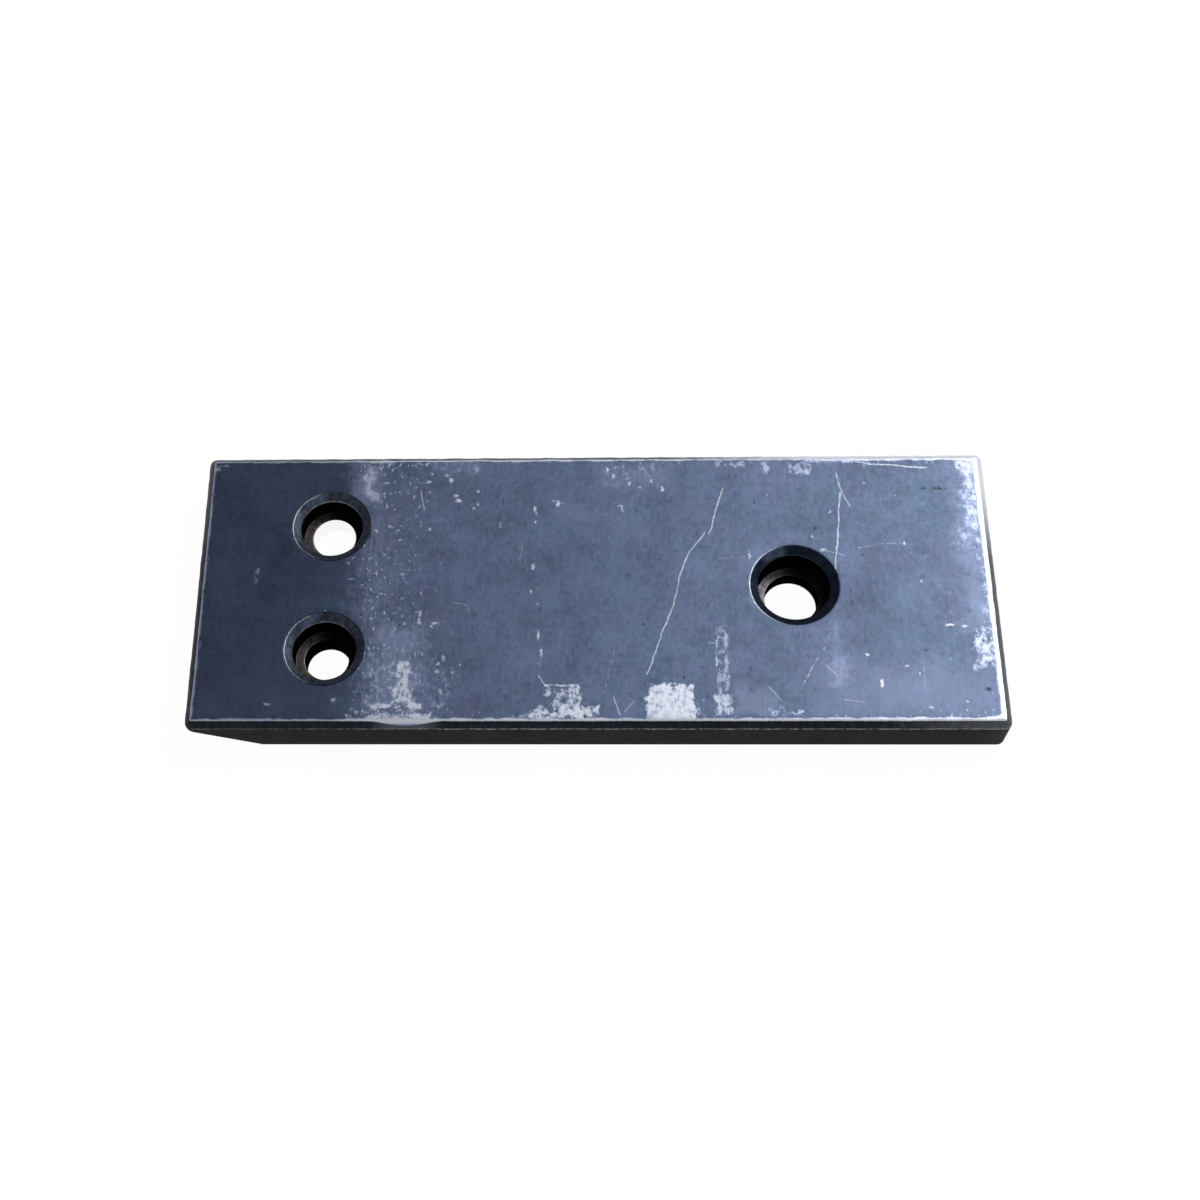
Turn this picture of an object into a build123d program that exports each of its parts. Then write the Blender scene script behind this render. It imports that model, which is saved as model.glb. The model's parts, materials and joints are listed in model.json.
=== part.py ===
from build123d import *
import os

# Machined mounting block: a flat steel bar, chamfered all round, with a long lead-in bevel
# under its nose and three stepped screw holes. Sizes are in millimetres.
# +X runs from the nose to the square end, +Z points out of the screw-head side, and the
# origin is the bottom centre of the block.

os.makedirs("parts", exist_ok=True)

# Bar
length = 190.0  # along X
width = 72.5  # along Y
thickness = 12.5  # along Z
corner_radius = 2.0  # the four upright corners
edge_chamfer = 1.5  # 45 degrees, round the top and the bottom face

# Lead-in bevel, milled across the underside of the nose
bevel_length = 19.0  # along X, measured on the bottom face
nose_height = 3.0  # what is left of the end face above the bevel
bevel_edge_break = 0.5  # dulls the bevel's three outer edges

# Screw holes: a shallow conical rim opens into a straight seat for the screw head,
# and a clearance bore goes on through the floor of the seat.
rim_angle = 120.0  # included angle of the conical rim
bore_edge_break = 0.4  # deburred edge where a bore leaves the bottom face

# Pair of smaller holes, side by side across the nose end
pair_to_nose = 31.6  # from the nose to both hole axes
pair_spacing = 32.8  # from axis to axis, along Y
pair_bore_diameter = 10.4
pair_seat_diameter = 15.0
pair_seat_depth = 6.4  # from the top face to the floor of the seat
pair_rim_diameter = 19.0

# Single larger hole, on the centre line near the square end
single_to_end = 47.6  # from the square end to the hole axis
single_bore_diameter = 12.7
single_seat_diameter = 17.0
single_seat_depth = 7.9
single_rim_diameter = 21.3

nose_x = -length / 2
end_x = length / 2


def screw_hole(bore_diameter, seat_diameter, seat_depth, rim_diameter):
    """Cuts one stepped hole at each current location, down from the top face."""
    CounterSinkHole(
        radius=seat_diameter / 2,
        counter_sink_radius=rim_diameter / 2,
        depth=seat_depth,
        counter_sink_angle=rim_angle,
    )
    Hole(radius=bore_diameter / 2, depth=thickness)


with BuildPart() as mounting_block:
    # The bar, cut to length, its corners rounded and both faces chamfered
    with BuildSketch(Plane.XY) as bar_outline:
        RectangleRounded(length, width, corner_radius)
    extrude(amount=thickness)
    bottom_and_top = faces().filter_by(Axis.Z)
    chamfer(bottom_and_top.edges(), length=edge_chamfer)

    # The lead-in bevel takes the lower corner of the nose off, right across the width
    with BuildSketch(Plane.XZ) as bevel_waste:
        with BuildLine():
            Polyline(
                (nose_x, thickness - nose_height),
                (nose_x, 0),
                (nose_x + bevel_length, 0),
                close=True,
            )
        make_face()
    extrude(amount=width / 2, both=True, mode=Mode.SUBTRACT)

    def faces_down_and_nosewards(face):
        normal = face.normal_at()
        return normal.Z < 0 and normal.X < 0

    bevel_edges = faces().filter_by(faces_down_and_nosewards).edges()
    heel = bevel_edges.sort_by(Axis.Z)[0]
    chamfer([edge for edge in bevel_edges if edge != heel], length=bevel_edge_break)

    # The screw holes
    with Locations(Plane.XY.offset(thickness)):
        with Locations((nose_x + pair_to_nose, 0)):
            with GridLocations(0, pair_spacing, 1, 2):
                screw_hole(pair_bore_diameter, pair_seat_diameter, pair_seat_depth, pair_rim_diameter)
        with Locations((end_x - single_to_end, 0)):
            screw_hole(
                single_bore_diameter, single_seat_diameter, single_seat_depth, single_rim_diameter
            )

    bottom_face = faces().sort_by(Axis.Z)[0]
    chamfer(bottom_face.inner_wires().edges(), length=bore_edge_break)

mounting_block.part.label = "mounting_block"
export_step(mounting_block.part, "parts/mounting_block.step")
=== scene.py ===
import bpy
import json
import math
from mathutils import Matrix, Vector


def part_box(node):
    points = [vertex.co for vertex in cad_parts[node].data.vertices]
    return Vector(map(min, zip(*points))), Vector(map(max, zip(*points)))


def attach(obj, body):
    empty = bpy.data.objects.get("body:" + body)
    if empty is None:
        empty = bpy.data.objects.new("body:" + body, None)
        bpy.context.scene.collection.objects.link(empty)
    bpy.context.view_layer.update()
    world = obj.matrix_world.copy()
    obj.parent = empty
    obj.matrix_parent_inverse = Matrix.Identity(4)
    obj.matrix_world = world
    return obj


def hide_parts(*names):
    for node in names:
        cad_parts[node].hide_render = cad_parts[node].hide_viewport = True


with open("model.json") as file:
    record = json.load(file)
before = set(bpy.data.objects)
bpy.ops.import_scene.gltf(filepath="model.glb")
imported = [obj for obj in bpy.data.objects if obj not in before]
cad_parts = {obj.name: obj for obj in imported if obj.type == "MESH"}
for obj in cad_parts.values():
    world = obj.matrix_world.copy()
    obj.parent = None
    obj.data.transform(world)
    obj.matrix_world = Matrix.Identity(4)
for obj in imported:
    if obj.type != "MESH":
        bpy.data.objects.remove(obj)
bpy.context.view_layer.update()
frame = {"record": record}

steelLow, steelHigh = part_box("mounting_block")
blockSize = steelHigh - steelLow
mounts = {mount["name"]: mount for mount in frame["record"]["mounts"]}
mm = 0.001


# helpers for the edit-mode work

def deselectAll():
    if bpy.context.object and bpy.context.object.mode != "OBJECT":
        bpy.ops.object.mode_set(mode="OBJECT")
    bpy.ops.object.select_all(action="DESELECT")


def startEditing(piece, selectMode):
    deselectAll()
    piece.select_set(True)
    bpy.context.view_layer.objects.active = piece
    bpy.ops.object.mode_set(mode="EDIT")
    bpy.ops.mesh.select_mode(type=selectMode)
    bpy.ops.mesh.select_all(action="DESELECT")


def pickEdges(piece, wanted):  # selects each edge whose two ends pass the test, and leaves it in edit mode
    startEditing(piece, "EDGE")
    bpy.ops.object.mode_set(mode="OBJECT")
    points = piece.data.vertices
    for edge in piece.data.edges:
        edge.select = wanted(*[points[index].co for index in edge.vertices])
    bpy.ops.object.mode_set(mode="EDIT")


def applyModifier(piece, kind, **settings):
    deselectAll()
    piece.select_set(True)
    bpy.context.view_layer.objects.active = piece
    modifier = piece.modifiers.new(kind.title(), kind)
    for name, value in settings.items():
        setattr(modifier, name, value)
    bpy.ops.object.modifier_apply(modifier=modifier.name)


# the worn block: nose at the low end of X, square end at the high end

blockForm = dict(
    cornerRadius=2.0 * mm,  # upright corners
    edgeChamfer=1.5 * mm,
    leadInLength=19.0 * mm,  # bevel under the nose
    noseHeight=3.0 * mm,
    leadInEdgeBreak=0.5 * mm,
    arrisRound=0.22 * mm,  # every arris is rubbed round by this much
    cutPitch=1.0 * mm,  # spacing of the cuts that give the dents something to move
    dentSpacing=3.0 * mm,
    dentDepth=0.25 * mm,
    dentContrast=1.3,
    dentBand=0.9 * mm,  # how far from an arris the dents die away
    lip=dict(centre=-43.5 * mm, reach=9.0 * mm, push=1.0 * mm, drop=0.4 * mm, band=0.35 * mm),
)

holeForm = dict(
    rimFlare={"pair": 2.0 * mm, "single": 2.15 * mm},  # how far the cone opens past the seat
    rimAngle=120,  # degrees, included
    edgeBreak=0.4 * mm,  # where the bore leaves the underside
    sides=96,
    overrun=1.0 * mm,  # the cutter stands out past both faces
)


def near(value, target, slack=0.02 * mm):
    return abs(value - target) < slack


def makeBar(form):
    low, high = steelLow, steelHigh
    deselectAll()
    bpy.ops.mesh.primitive_cube_add(size=1, location=(low + high) / 2)
    bar = bpy.context.object
    bar.name = "wornBlock"
    bar.scale = blockSize
    bpy.ops.object.transform_apply(location=True, rotation=True, scale=True)
    pickEdges(bar, lambda a, b: abs(a.z - b.z) > blockSize.z / 2)
    bpy.ops.mesh.bevel(offset=form["cornerRadius"], segments=8, affect="EDGES")
    pickEdges(bar, lambda a, b: (near(a.z, low.z) and near(b.z, low.z))
              or (near(a.z, high.z) and near(b.z, high.z)))
    bpy.ops.mesh.bevel(offset=form["edgeChamfer"], segments=1, affect="EDGES")
    # the lead-in bevel takes the lower corner of the nose off
    drop = blockSize.z - form["noseHeight"]
    startEditing(bar, "EDGE")
    bpy.ops.mesh.select_all(action="SELECT")
    bpy.ops.mesh.bisect(plane_co=(low.x, 0, high.z - form["noseHeight"]),
                        plane_no=(-drop, 0, -form["leadInLength"]),
                        use_fill=True, clear_outer=True, threshold=1e-7)
    bpy.ops.object.mode_set(mode="OBJECT")
    slope = drop / form["leadInLength"]

    def onLeadIn(point):
        return near(point.z, high.z - form["noseHeight"] - slope * (point.x - low.x))
    pickEdges(bar, lambda a, b: onLeadIn(a) and onLeadIn(b) and max(a.z, b.z) > low.z + 0.1 * mm)
    bpy.ops.mesh.bevel(offset=form["leadInEdgeBreak"], segments=1, affect="EDGES")
    bpy.ops.object.mode_set(mode="OBJECT")
    return bar


def cutHole(bar, form, boreMount, seatMount, flare):
    bore, seat = mounts[boreMount], mounts[seatMount]
    centreX, centreY = bore["pos_m"][0], bore["pos_m"][1]
    boreRadius, seatRadius = bore["dims"]["r_mm"] * mm, seat["dims"]["r_mm"] * mm
    ledge = seat["pos_m"][2] - seat["dims"]["length_mm"] * mm / 2
    coneDepth = flare / math.tan(math.radians(form["rimAngle"] / 2))
    rimRadius = seatRadius + flare
    profile = [  # radius and height of each ring, from below the block to above it
        (boreRadius + form["edgeBreak"], steelLow.z),
        (boreRadius, steelLow.z + form["edgeBreak"]),
        (boreRadius, ledge),
        (seatRadius, ledge),
        (seatRadius, steelHigh.z - coneDepth),
        (rimRadius, steelHigh.z),
        (rimRadius, steelHigh.z + form["overrun"]),
    ]
    deselectAll()
    bpy.ops.mesh.primitive_circle_add(vertices=form["sides"], radius=profile[0][0], fill_type="NGON",
                                      location=(centreX, centreY, steelLow.z - form["overrun"]))
    cutter = bpy.context.object
    bpy.ops.object.transform_apply(location=True, rotation=True, scale=True)
    bpy.ops.object.mode_set(mode="EDIT")
    bpy.ops.mesh.select_all(action="SELECT")
    radius, height = profile[0][0], steelLow.z - form["overrun"]
    for nextRadius, nextHeight in profile:
        bpy.ops.mesh.extrude_region_move(TRANSFORM_OT_translate={"value": (0, 0, nextHeight - height)})
        grow = nextRadius / radius
        bpy.ops.transform.resize(value=(grow, grow, 1), center_override=(centreX, centreY, nextHeight))
        radius, height = nextRadius, nextHeight
    bpy.ops.mesh.select_all(action="SELECT")
    bpy.ops.mesh.normals_make_consistent(inside=False)
    bpy.ops.object.mode_set(mode="OBJECT")
    applyModifier(bar, "BOOLEAN", operation="DIFFERENCE", solver="EXACT", object=cutter)
    bpy.data.objects.remove(cutter)


def sliceBar(bar, pitch):  # straight cuts both ways, so that dents have points to move
    startEditing(bar, "EDGE")
    for axis, normal in ((0, (1, 0, 0)), (1, (0, 1, 0))):
        cuts = int(blockSize[axis] / pitch)
        step = blockSize[axis] / cuts
        for number in range(1, cuts):
            place = Vector((0, 0, 0))
            place[axis] = steelLow[axis] + number * step
            bpy.ops.mesh.select_all(action="SELECT")
            bpy.ops.mesh.bisect(plane_co=place, plane_no=normal)
    bpy.ops.object.mode_set(mode="OBJECT")


def roundArrises(bar, form):
    applyModifier(bar, "BEVEL", width=form["arrisRound"], segments=3, limit_method="ANGLE",
                  angle_limit=math.radians(25), use_clamp_overlap=False, miter_outer="MITER_ARC")


def falloff(distance, reach):  # 1 at the middle, 0 at reach, smooth at both ends
    share = min(abs(distance) / reach, 1)
    return (1 - share * share) ** 2


def wearArrises(bar, form):  # dents and waves along the outer arrises, always inwards
    group = bar.vertex_groups.new(name="arris")
    halfLength, halfWidth = blockSize.x / 2, blockSize.y / 2
    for point in bar.data.vertices:
        inset = min(halfLength - abs(point.co.x), halfWidth - abs(point.co.y))
        if inset < form["edgeChamfer"] + 0.4 * mm and point.co.z > steelLow.z + 0.5 * mm:
            toArris = min(abs(inset - form["edgeChamfer"]) + abs(steelHigh.z - point.co.z),
                          abs(inset) + abs(steelHigh.z - form["edgeChamfer"] - point.co.z))
            group.add([point.index], falloff(toArris, form["dentBand"]), "REPLACE")
    dents = bpy.data.textures.new("arrisDents", "CLOUDS")
    dents.noise_scale = form["dentSpacing"]
    dents.noise_depth = 3
    dents.contrast = form["dentContrast"]
    applyModifier(bar, "DISPLACE", texture=dents, texture_coords="LOCAL", vertex_group="arris",
                  direction="NORMAL", mid_level=1.0, strength=form["dentDepth"])
    # hammered lip: the top arris is driven out over the chamfer
    lip = form["lip"]
    for point in bar.data.vertices:
        along = falloff(point.co.x - lip["centre"], lip["reach"])
        fromArris = -halfWidth + form["edgeChamfer"] - point.co.y
        if along > 0 and abs(fromArris) < lip["band"] and point.co.z > steelHigh.z - 0.5 * mm:
            point.co.y -= lip["push"] * along
            point.co.z -= lip["drop"] * along
    bar.vertex_groups.clear()
    for point in bar.data.vertices:  # no dent stands out of the block
        point.co = [min(max(place, low), high) for place, low, high in zip(point.co, steelLow, steelHigh)]


def faceKind(face):  # which finish a face takes: 0 top, 1 chamfer, 2 side, 3 hole, 4 under
    x, y, z = face.center
    for name, flare in (("pair_seat_back", "pair"), ("pair_seat_front", "pair"), ("single_seat", "single")):
        away = math.hypot(x - mounts[name]["pos_m"][0], y - mounts[name]["pos_m"][1])
        inHole = away < mounts[name]["dims"]["r_mm"] * mm + holeForm["rimFlare"][flare]
        if inHole and steelLow.z + 0.05 * mm < z < steelHigh.z - 0.015 * mm:
            return 3
    if z < steelLow.z + 0.05 * mm or face.normal.z < -0.3:
        return 4
    if face.normal.z > math.cos(math.radians(24)) and z > steelHigh.z - 0.3 * mm:
        return 0
    return 1 if face.normal.z > 0.3 else 2


wornBlock = makeBar(blockForm)
cutHole(wornBlock, holeForm, "pair_bore_back", "pair_seat_back", holeForm["rimFlare"]["pair"])
cutHole(wornBlock, holeForm, "pair_bore_front", "pair_seat_front", holeForm["rimFlare"]["pair"])
cutHole(wornBlock, holeForm, "single_bore", "single_seat", holeForm["rimFlare"]["single"])
print("bar cut, bevelled and drilled:", len(wornBlock.data.polygons), "faces")
roundArrises(wornBlock, blockForm)
sliceBar(wornBlock, blockForm["cutPitch"])
for face in wornBlock.data.polygons:
    face.material_index = faceKind(face)
wearArrises(wornBlock, blockForm)
print("arrises rounded and dented:", len(wornBlock.data.polygons), "faces")

deselectAll()
wornBlock.select_set(True)
bpy.context.view_layer.objects.active = wornBlock
bpy.ops.object.shade_smooth_by_angle(angle=math.radians(35))
applyModifier(wornBlock, "WEIGHTED_NORMAL", keep_sharp=True)


# helpers for the node trees

def feed(tree, socket, value):  # joins a socket to another, or writes a plain value in it
    if isinstance(value, bpy.types.NodeSocket):
        tree.links.new(value, socket)
    elif socket.type == "RGBA":
        socket.default_value = (*value[:3], 1)
    else:
        socket.default_value = value


def addNode(tree, kind, settings=None, **inputs):  # From_Min stands for the input From Min
    node = tree.nodes.new("ShaderNode" + kind)
    for name, value in (settings or {}).items():
        setattr(node, name, value)
    for name, value in inputs.items():
        feed(tree, node.inputs[name.replace("_", " ")], value)
    return node


def maths(tree, operation, *values):
    node = addNode(tree, "Math", dict(operation=operation))
    for socket, value in zip(node.inputs, values):
        feed(tree, socket, value)
    return node.outputs[0]


def times(tree, value, *others):
    for other in others:
        value = maths(tree, "MULTIPLY", value, other)
    return value


def vectorMaths(tree, operation, *values, scale=None):
    node = addNode(tree, "VectorMath", dict(operation=operation))
    for socket, value in zip(node.inputs, values):
        feed(tree, socket, value)
    if scale is not None:
        feed(tree, node.inputs["Scale"], scale)
    return node.outputs["Value" if operation in ("LENGTH", "DISTANCE", "DOT_PRODUCT") else "Vector"]


def part(tree, vector, axis):  # one coordinate of a vector, by a dot product
    return vectorMaths(tree, "DOT_PRODUCT", vector, tuple(float(axis == name) for name in "xyz"))


def smoothStep(tree, value, start, end, low=0.0, high=1.0):  # from low at start to high at end
    node = addNode(tree, "MapRange", dict(interpolation_type="SMOOTHSTEP"))
    for name, given in (("Value", value), ("From Min", start), ("From Max", end),
                        ("To Min", low), ("To Max", high)):
        feed(tree, node.inputs[name], given)
    return node.outputs["Result"]


def blendColours(tree, amount, first, second):
    node = addNode(tree, "Mix", dict(data_type="RGBA"))
    for socket, value in ((node.inputs[0], amount), (node.inputs[6], first), (node.inputs[7], second)):
        feed(tree, socket, value)
    return node.outputs[2]


def blendValues(tree, amount, first, second):
    node = addNode(tree, "Mix", dict(data_type="FLOAT"))
    for socket, value in ((node.inputs[0], amount), (node.inputs[2], first), (node.inputs[3], second)):
        feed(tree, socket, value)
    return node.outputs[0]


def noise(tree, point, scale, detail=2.0, rough=0.5):
    return addNode(tree, "TexNoise", Vector=point, Scale=scale, Detail=detail, Roughness=rough).outputs["Fac"]


def stretch(tree, point, x, y, z=1.0):
    return vectorMaths(tree, "MULTIPLY", point, (x, y, z))


def startGroup(name, inputs, outputs):
    group = bpy.data.node_groups.new(name, "ShaderNodeTree")
    for title, value in inputs.items():
        kind = "NodeSocketVector" if isinstance(value, tuple) else "NodeSocketFloat"
        group.interface.new_socket(title, in_out="INPUT", socket_type=kind).default_value = value
    for title in outputs:
        group.interface.new_socket(title, in_out="OUTPUT", socket_type="NodeSocketFloat")
    return group, group.nodes.new("NodeGroupInput").outputs, group.nodes.new("NodeGroupOutput").inputs


def useGroup(tree, group, **inputs):
    return addNode(tree, "Group", dict(node_tree=group), **inputs).outputs


# shared effects, all in millimetres

def makeLineGap():  # how far a point is from a straight scratch, seen from above
    group, given, result = startGroup(
        "lineGap", {"Point": (0, 0, 0), "Start": (0, 0, 0), "End": (0, 0, 0)}, ["Gap"])
    toPoint = vectorMaths(group, "SUBTRACT", given["Point"], given["Start"])
    toEnd = vectorMaths(group, "SUBTRACT", given["End"], given["Start"])
    along = maths(group, "DIVIDE", vectorMaths(group, "DOT_PRODUCT", toPoint, toEnd),
                  vectorMaths(group, "DOT_PRODUCT", toEnd, toEnd))
    along = maths(group, "MINIMUM", maths(group, "MAXIMUM", along, 0.0), 1.0)
    nearest = vectorMaths(group, "SCALE", toEnd, scale=along)
    feed(group, result["Gap"], vectorMaths(group, "DISTANCE", toPoint, nearest))
    return group


def makeRubbedPatch():  # a ragged rub: Level inside, 0 outside; Noise runs evenly either side of 0
    group, given, result = startGroup("rubbedPatch", {
        "Point": (0, 0, 0), "Centre": (0, 0, 0), "Half": (1, 1, 0), "Soft": 0.4, "Ragged": 1.0, "Noise": 0.0,
        "Grit": 0.5, "Cover": 1.0, "Level": 1.0}, ["Mask"])
    offset = vectorMaths(group, "ABSOLUTE", vectorMaths(group, "SUBTRACT", given["Point"], given["Centre"]))
    beyond = vectorMaths(group, "SUBTRACT", offset, given["Half"])
    outside = maths(group, "MAXIMUM", part(group, beyond, "x"), part(group, beyond, "y"))
    gap = maths(group, "MULTIPLY_ADD", given["Noise"], given["Ragged"], outside)
    shape = smoothStep(group, gap, given["Soft"], times(group, given["Soft"], -1.0), 0.0, given["Level"])
    threshold = maths(group, "MULTIPLY_ADD", given["Cover"], -0.42, 0.72)
    filling = smoothStep(group, given["Grit"], maths(group, "SUBTRACT", threshold, 0.13),
                         maths(group, "ADD", threshold, 0.10))
    feed(group, result["Mask"], times(group, shape, filling))
    return group


def makeSteelMottle():  # clouds, streaks across the bar, grit and fine grain
    group, given, result = startGroup("steelMottle", {"Point": (0, 0, 0)},
                                      ["Cloud", "Tint", "Streak", "Grit", "Grain"])
    feed(group, result["Cloud"], noise(group, given["Point"], 0.085, 4.0, 0.68))
    moved = vectorMaths(group, "ADD", given["Point"], (71, 33, 0))
    feed(group, result["Tint"], noise(group, moved, 0.11, 4.0, 0.7))
    feed(group, result["Streak"], noise(group, stretch(group, given["Point"], 1.6, 0.16), 1.0, 4.0, 0.65))
    feed(group, result["Grit"], noise(group, stretch(group, given["Point"], 1.0, 0.7), 0.9, 5.0, 0.72))
    feed(group, result["Grain"], noise(group, given["Point"], 3.2, 2.0, 0.6))
    return group


def makeOutlineGap():  # distance to the upper and to the lower arris of the top chamfer
    group, given, result = startGroup("outlineGap", {
        "Point": (0, 0, 0), "Half": (95, 36.25, 0), "Corner": 2.0, "Chamfer": 1.5, "Top": 12.5},
        ["Inset", "Upper", "Lower"])
    flat = stretch(group, given["Point"], 1, 1, 0)
    corner = addNode(group, "CombineXYZ", X=given["Corner"], Y=given["Corner"]).outputs[0]
    beyond = vectorMaths(group, "SUBTRACT", vectorMaths(group, "ABSOLUTE", flat),
                         vectorMaths(group, "SUBTRACT", given["Half"], corner))
    outside = vectorMaths(group, "LENGTH", vectorMaths(group, "MAXIMUM", beyond, (0, 0, 0)))
    inside = maths(group, "MAXIMUM", part(group, beyond, "x"), part(group, beyond, "y"))
    inside = maths(group, "MINIMUM", inside, 0.0)
    inset = maths(group, "SUBTRACT", given["Corner"], maths(group, "ADD", outside, inside))
    height = part(group, given["Point"], "z")
    below = maths(group, "SUBTRACT", given["Top"], height)
    upper = addNode(group, "CombineXYZ", X=maths(group, "SUBTRACT", inset, given["Chamfer"]), Y=below)
    lower = addNode(group, "CombineXYZ", X=inset, Y=maths(group, "SUBTRACT", below, given["Chamfer"]))
    feed(group, result["Inset"], inset)
    feed(group, result["Upper"], vectorMaths(group, "LENGTH", upper.outputs[0]))
    feed(group, result["Lower"], vectorMaths(group, "LENGTH", lower.outputs[0]))
    return group


def makeFlecks():  # ragged bright flecks: Amount 0 none, 1 crowded
    group, given, result = startGroup("flecks", {"Point": (0, 0, 0), "Amount": 0.3}, ["Mask"])
    crumbs = noise(group, stretch(group, given["Point"], 1.25, 0.8), 0.95, 3.0, 0.62)
    threshold = maths(group, "MULTIPLY_ADD", given["Amount"], -0.26, 0.79)
    feed(group, result["Mask"], smoothStep(group, crumbs, threshold, maths(group, "ADD", threshold, 0.11)))
    return group


lineGap, rubbedPatch, steelMottle = makeLineGap(), makeRubbedPatch(), makeSteelMottle()
outlineGap, flecks = makeOutlineGap(), makeFlecks()


# what wear has left on the top face: millimetres along and across the bar

scratches = [  # points, width, strength, how broken up it is (0 none, 1 all)
    ([(31.7, 26.5), (30, 21), (28.5, 16), (27.7, 13.5)], 0.36, 0.8, 0.2),
    ([(26.7, 14), (24.5, 10.8), (22.8, 8.7), (21.5, 6), (20.5, 2), (19.5, -2), (18.2, -6.5), (16, -13),
      (14, -18.5), (12.2, -23.3)], 0.36, 0.85, 0.2),
    ([(59.2, 30.5), (60, 25), (61.9, 21)], 0.42, 0.5, 0.2),
    ([(59.6, 25), (59.2, 20), (58.3, 12), (57.2, 4.3)], 0.38, 0.8, 0.1),
    ([(56, -11), (54, -15.5), (52.5, -17.5), (51, -20.5), (49, -24), (47, -27), (45.3, -28.5)],
     0.32, 0.55, 0.45),
    ([(63, 9.8), (68, 10.8), (74, 11.2)], 0.3, 0.35, 0.4),
    ([(55, 9), (60, 7.5)], 0.3, 0.3, 0.4),
    ([(53.5, -21), (55.8, -23.3)], 0.3, 0.45, 0.2),
    ([(57, -29.5), (61.5, -30.2)], 0.3, 0.4, 0.2),
    ([(62, 34), (68, 33), (75, 32.2), (81, 32)], 0.42, 0.8, 0.1),
    ([(4.5, -29), (5.8, -33.3)], 0.34, 0.7, 0.1),
    ([(7, -32.5), (9.3, -29.8)], 0.3, 0.5, 0.2),
    ([(2.2, -28), (3.5, -22), (5, -15.5)], 0.3, 0.4, 0.45),
    ([(40, -26.5), (43, -30)], 0.3, 0.5, 0.2),
    ([(76, -20), (75.5, -27)], 0.3, 0.25, 0.4),
    ([(-17, 12), (-17.5, 6)], 0.26, 0.3, 0.3),
    ([(-33.5, -4.5), (-30, -5), (-29, -7)], 0.26, 0.4, 0.4),
    ([(-42, 26), (-41.2, 21)], 0.4, 0.65, 0.2),
    ([(30, 7), (36, 7.5)], 0.26, 0.25, 0.4),
    ([(-13.8, 8), (-13.4, -2), (-13.3, -12)], 0.24, 0.22, 0.5),
    ([(-12.8, -23.5), (-11.5, -25.7)], 0.34, 0.8, 0.1),
]

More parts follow.
